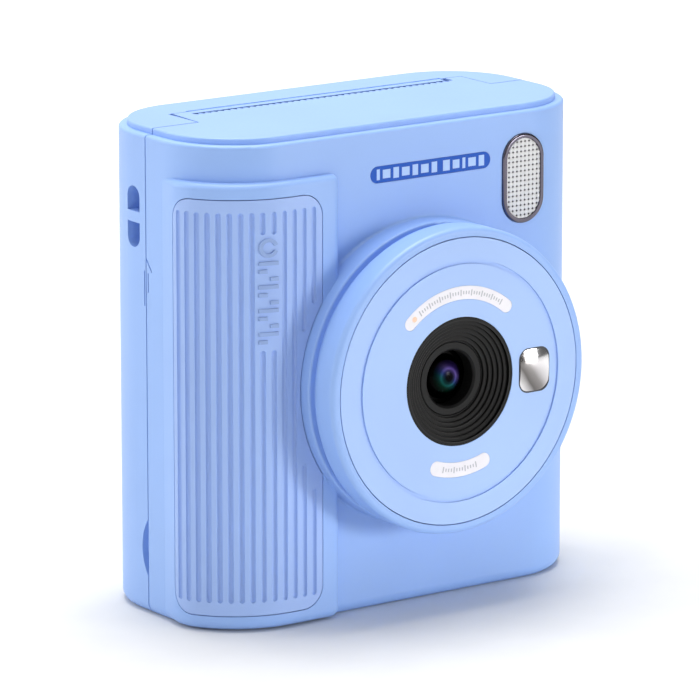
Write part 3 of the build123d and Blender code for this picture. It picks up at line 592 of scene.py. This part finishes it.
# ---- lens: turned front element with its retaining ring ---------------------
def make_front_element():
    """A domed glass in a stepped rim, closed at the back."""
    low, high, middle = box_of("lens_glass")
    rim_r = (high.x - low.x) / 2
    seat_y = low.y + 2.35 * MM
    profile = []
    dome_parts = 24
    for i in range(dome_parts + 1):
        depth = (seat_y - low.y) * (i / dome_parts) ** 2
        profile.append((math.sqrt(max(GLASS_R**2 - (GLASS_R - depth) ** 2, 0)), low.y + depth))
    profile += [(rim_r - 0.25 * MM, seat_y + 0.05 * MM), (rim_r, seat_y + 0.3 * MM)]
    profile += [(rim_r, high.y), (0, high.y)]
    mesh = lathe("front_element", profile, middle.x, middle.z)
    piece = add_piece("front_element", mesh, lens_painted_reflection, "front_half", 40)
    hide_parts("lens_glass")


make_front_element()


# ---- printed and embossed marks ---------------------------------------------
grey_ink = printed_film("grey_ink", linear(188, 188, 196))
amber_ink = printed_film("amber_ink", linear(244, 208, 178))
pale_ink = printed_film("pale_ink", linear(170, 202, 244))
icon_ink = printed_film("icon_ink", linear(236, 241, 252))
# painted shade: a darker copy of the panel blue, standing in for the shade on the embossed marks,
# which are moulded in the panel's own colour
shaded_mark_blue = moulded_plastic("shaded_mark_blue", shade(PANEL_BLUE, 0.8), roughness=0.3)
# thickness of a printed mark, and the straight parts in a bar that bends with the grip
INK = 0.03 * MM
STRIP_PARTS = 6


def make_scale_marks(node, material, first, last, count, label_r):
    """Evenly spaced plain bars along a curved label, every fourth one longer."""
    face = faces_front(box_of(node)[0].y)
    mesh_data = bmesh.new()
    for i in range(count):
        angle = math.radians(first + (last - first) * i / (count - 1))
        length = (1.25 if i % 4 == 0 else 0.7) * MM
        u = lens_x + label_r * math.cos(angle)
        v = lens_z + label_r * math.sin(angle)
        prism(round_bar(length, 0.26 * MM, u, v, angle), face, 0, INK, mesh_data)
    mesh = finish_mesh(node + "_marks", mesh_data)
    add_piece(node + "_marks", mesh, material, "front_half")


LABEL_R = 17.4 * MM
make_scale_marks("upper_label", grey_ink, 56, 123, 33, LABEL_R)
make_scale_marks("lower_label", grey_ink, 257, 283, 13, LABEL_R)


def make_label_spot():
    """A small round spot at the left end of the upper label."""
    angle, width = math.radians(128.5), 1.1 * MM
    u, v = lens_x + LABEL_R * math.cos(angle), lens_z + LABEL_R * math.sin(angle)
    mesh_data = bmesh.new()
    face = faces_front(box_of("upper_label")[0].y)
    prism(round_bar(width, width, u, v), face, 0, INK, mesh_data)
    mesh = finish_mesh("upper_label_spots", mesh_data)
    add_piece("upper_label_spots", mesh, amber_ink, "front_half")


make_label_spot()


def make_pill_marks():
    """Plain light bars of several widths along the blue strip, in two groups."""
    low, _, middle = box_of("front_label")
    widths = (0.7, 1.8, 1.3, 1.8, 1.3, 1.8, 1.3, 0, 1.6, 1.6, 0.7, 1.8, 1.3)
    gap = 0.72 * MM
    x = middle.x - (sum(widths) * MM + gap * (len(widths) - 1)) / 2
    mesh_data = bmesh.new()
    for i, width in enumerate(widths):
        width *= MM
        half_h = (1.05, 0.85)[i % 2] * MM
        foot, top = middle.z - half_h, middle.z + half_h
        if width:
            outline = [(x, foot), (x + width, foot), (x + width, top), (x, top)]
            prism(outline, faces_front(low.y), 0, INK, mesh_data)
        x += width + gap
    mesh = finish_mesh("front_label_marks", mesh_data)
    add_piece("front_label_marks", mesh, pale_ink, "front_half")


make_pill_marks()


def make_grip_marks():
    """Column of low embossed bars and a ring on the plain band of the grip, following its curve."""
    front_y = box_of("grip_panel")[0].y
    bend_x, bend_r = -29.0 * MM, 19.4 * MM
    column_x, top_z, bottom_z = -34.1 * MM, 75.2 * MM, 57.0 * MM

    def place(u, v, depth):
        past = max(bend_x - u, 0)
        return Vector((u, front_y + bend_r - math.sqrt(bend_r**2 - past**2) - depth, v))

    def strip(left, right, foot, head):
        """A bar that bends with the surface below it, closed at both ends."""
        loops = []
        for k in range(STRIP_PARTS + 1):
            u = left + (right - left) * k / STRIP_PARTS
            corners = ((foot, sunk), (head, sunk), (head, raised), (foot, raised))
            loops.append([mesh_data.verts.new(place(u, v, depth)) for v, depth in corners])
        for one, other in zip(loops, loops[1:]):
            for i in range(4):
                j = (i + 1) % 4
                mesh_data.faces.new((one[i], one[j], other[j], other[i]))
        mesh_data.faces.new(loops[0][::-1])
        mesh_data.faces.new(loops[-1])

    mesh_data = bmesh.new()
    sunk, raised = -0.12 * MM, 0.36 * MM
    prism(ring_sector(1.15 * MM, 1.85 * MM, 20, 340, column_x, top_z), place, sunk, raised, mesh_data)
    bar_count, half_h = 11, 0.36 * MM
    first_z = top_z - 3.0 * MM
    for i in range(bar_count):
        z = first_z - (first_z - bottom_z) * i / (bar_count - 1)
        width, shift = ((3.8, 0), (1.6, -1.1), (1.6, 1.1))[i % 3]
        u = column_x + shift * MM
        strip(u - width / 2 * MM, u + width / 2 * MM, z - half_h, z + half_h)
    mesh = finish_mesh("grip_marks", mesh_data)
    add_piece("grip_marks", mesh, shaded_mark_blue, "front_half", 30)


make_grip_marks()


def make_mirror_gap_shade():
    """Thin dark ring round the small mirror, standing in for the shade in the gap round it."""
    low, high, middle = box_of("selfie_mirror")
    width, height = high.x - low.x, high.z - low.z
    rim, proud, tuck, depth, corner_r = 0.24 * MM, 0.03 * MM, 0.02 * MM, 0.3 * MM, 2.0 * MM
    steps = 8

    def rounded(grow):
        radius = corner_r + grow
        reach_u, reach_v = width / 2 + grow - radius, height / 2 + grow - radius
        points = []
        for corner, (su, sv) in enumerate(((1, 1), (-1, 1), (-1, -1), (1, -1))):
            for i in range(steps + 1):
                a = math.pi / 2 * (corner + i / steps)
                u = middle.x + su * reach_u + radius * math.cos(a)
                points.append((u, middle.z + sv * reach_v + radius * math.sin(a)))
        return points

    face_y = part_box("face_disc")[0].y
    mesh_data = bmesh.new()
    loops = []
    for outline, y in (
        (rounded(rim), face_y),
        (rounded(rim), face_y - proud),
        (rounded(-tuck), face_y - proud),
        (rounded(-tuck), face_y + depth),
    ):
        loops.append([mesh_data.verts.new((u, y, v)) for u, v in outline])
    for first, second in zip(loops, loops[1:]):
        for i in range(len(first)):
            j = (i + 1) % len(first)
            mesh_data.faces.new((first[i], first[j], second[j], second[i]))
    mesh = finish_mesh("mirror_gap_shade", mesh_data)
    # painted shade: dark navy standing in for the shade in the gap round the mirror
    gap_shade_ring = moulded_plastic("gap_shade_ring", (0.01, 0.014, 0.03), roughness=0.3)
    add_piece("mirror_gap_shade", mesh, gap_shade_ring, "front_half")


make_mirror_gap_shade()


# ---- icons on the keys ------------------------------------------------------
def arrow(turn):
    """Solid triangle pointing right before it is turned."""
    c, s = math.cos(turn), math.sin(turn)
    points = ((0.95, 0), (-0.6, 0.85), (-0.6, -0.85))
    return [((p * c - q * s) * MM, (p * s + q * c) * MM) for p, q in points]


def shifted(outline, u, v):
    return [(u + p, v + q) for p, q in outline]


def make_icon(node, outlines):
    """Raised print on top of a key, riding with it."""
    _, high, middle = box_of(node)
    mesh_data = bmesh.new()
    for outline in outlines:
        prism(shifted(outline, -middle.x, middle.z), faces_back(high.y), 0, INK, mesh_data)
    mesh = finish_mesh(node + "_icon", mesh_data)
    body = node.replace("_button", "_key")
    add_piece(node + "_icon", mesh, icon_ink, body)


make_icon("up_button", [arrow(math.pi / 2)])
make_icon("down_button", [arrow(-math.pi / 2)])
make_icon("left_button", [arrow(math.pi)])
make_icon("right_button", [arrow(0)])
make_icon("ok_button", [round_bar(1.7 * MM, 1.7 * MM, 0, 0)])
make_icon("play_button", [arrow(0)])
make_icon("menu_button", [round_bar(1.9 * MM, 0.32 * MM, 0, v * MM) for v in (-0.7, 0, 0.7)])
make_icon(
    "power_button",
    [ring_sector(0.75 * MM, 1.05 * MM, 125, 415, 0, 0), round_bar(0.3 * MM, 1.0 * MM, 0, 0.75 * MM)],
)
make_icon("shutter_button", [ring_sector(2.9 * MM, 3.3 * MM, 0, 359.9, 0, 0, steps=72)])


# ---- stage, light and camera ----------------------------------------------
def make_camera():
    """The camera looks down on the lens side from the front left."""
    azimuth, elevation = math.radians(-35.556), math.radians(13.141)
    distance, focal_px, width_px = 1.10406, 5615.4, 700
    right = Vector((math.cos(azimuth), math.sin(azimuth), 0))
    back = Vector(
        (
            math.sin(azimuth) * math.cos(elevation),
            -math.cos(azimuth) * math.cos(elevation),
            math.sin(elevation),
        )
    )
    up = back.cross(right)
    target = Vector((0, 0, 0.045)) + right * 0.00125 + up * 0.00134
    data = bpy.data.cameras.new("camera")
    data.sensor_width = 36
    data.lens = focal_px / width_px * data.sensor_width
    data.clip_start, data.clip_end = 0.05, 20
    camera = bpy.data.objects.new("camera", data)
    camera.matrix_world = Matrix.Translation(target + back * distance) @ Matrix(
        (right, up, back)
    ).transposed().to_4x4()
    bpy.context.scene.collection.objects.link(camera)
    bpy.context.scene.camera = camera


def make_light(name, location, target, size, power, spread=180):
    """A large soft square light aimed at a point, its beam spread in degrees."""
    data = bpy.data.lights.new(name, "AREA")
    data.size = size
    data.energy = power
    data.spread = math.radians(spread)
    light = bpy.data.objects.new(name, data)
    light.location = location
    aim = Vector(location) - Vector(target)
    light.rotation_mode = "QUATERNION"
    light.rotation_quaternion = aim.to_track_quat("Z", "Y")
    bpy.context.scene.collection.objects.link(light)


def make_stage():
    """Pale floor and white surroundings."""
    mesh = bpy.data.meshes.new("floor")
    half = 3.0
    corners = [(-half, -half, 0), (half, -half, 0), (half, half, 0), (-half, half, 0)]
    mesh.from_pydata(corners, [], [(0, 1, 2, 3)])
    floor = bpy.data.objects.new("floor", mesh)
    bpy.context.scene.collection.objects.link(floor)
    s = Shader("floor_paper", Roughness=0.8)
    s.colour(s.ramp(s.noise(60), [(0.3, grey(0.78)), (0.7, grey(0.81))]))
    glow = s.spread(s.vector("LENGTH", s.coords), 0.0, FLOOR_GLOW, 0.1, 0.6, kind="SMOOTHSTEP")
    s.set(Emission_Color=(1, 1, 1))
    s.link(glow, s.bsdf.inputs["Emission Strength"])
    mesh.materials.append(s.material)
    make_world()


def make_world():
    """Surroundings that are white behind and above and dimmer on the near right."""
    world = bpy.data.worlds.new("studio")
    world.use_nodes = True
    tree = world.node_tree
    background = tree.nodes["Background"]
    coords = tree.nodes.new("ShaderNodeTexCoord")
    aim = tree.nodes.new("ShaderNodeVectorMath")
    aim.operation = "DOT_PRODUCT"
    aim.inputs[1].default_value = Vector(WORLD_AIM).normalized()
    ramp = tree.nodes.new("ShaderNodeMapRange")
    ramp.interpolation_type = "SMOOTHSTEP"
    keys = ("From Min", "From Max", "To Min", "To Max")
    for key, value in zip(keys, (-0.6, 0.7, WORLD_LOW, WORLD_HIGH)):
        ramp.inputs[key].default_value = value
    tree.links.new(coords.outputs["Generated"], aim.inputs[0])
    tree.links.new(aim.outputs["Value"], ramp.inputs["Value"])
    tree.links.new(ramp.outputs["Result"], background.inputs["Strength"])
    background.inputs["Color"].default_value = (1, 1, 1, 1)
    bpy.context.scene.world = world


WORLD_AIM = (-0.55, 0.6, 0.6)
WORLD_LOW, WORLD_HIGH = 0.08, 0.8
FLOOR_GLOW = 0.4

make_camera()
make_stage()
centre = (0, 0, 0.05)
make_light("top_softbox", (0.05, 0.1, 0.8), centre, 0.45, 5.4)
make_light("left_softbox", (-0.75, 0.6, 0.3), centre, 0.5, 1.7)
make_light("front_softbox", (0.5, -0.9, 0.06), (0, 0, -0.12), 0.3, 0.36, 36)
bpy.context.scene.view_settings.view_transform = "Standard"
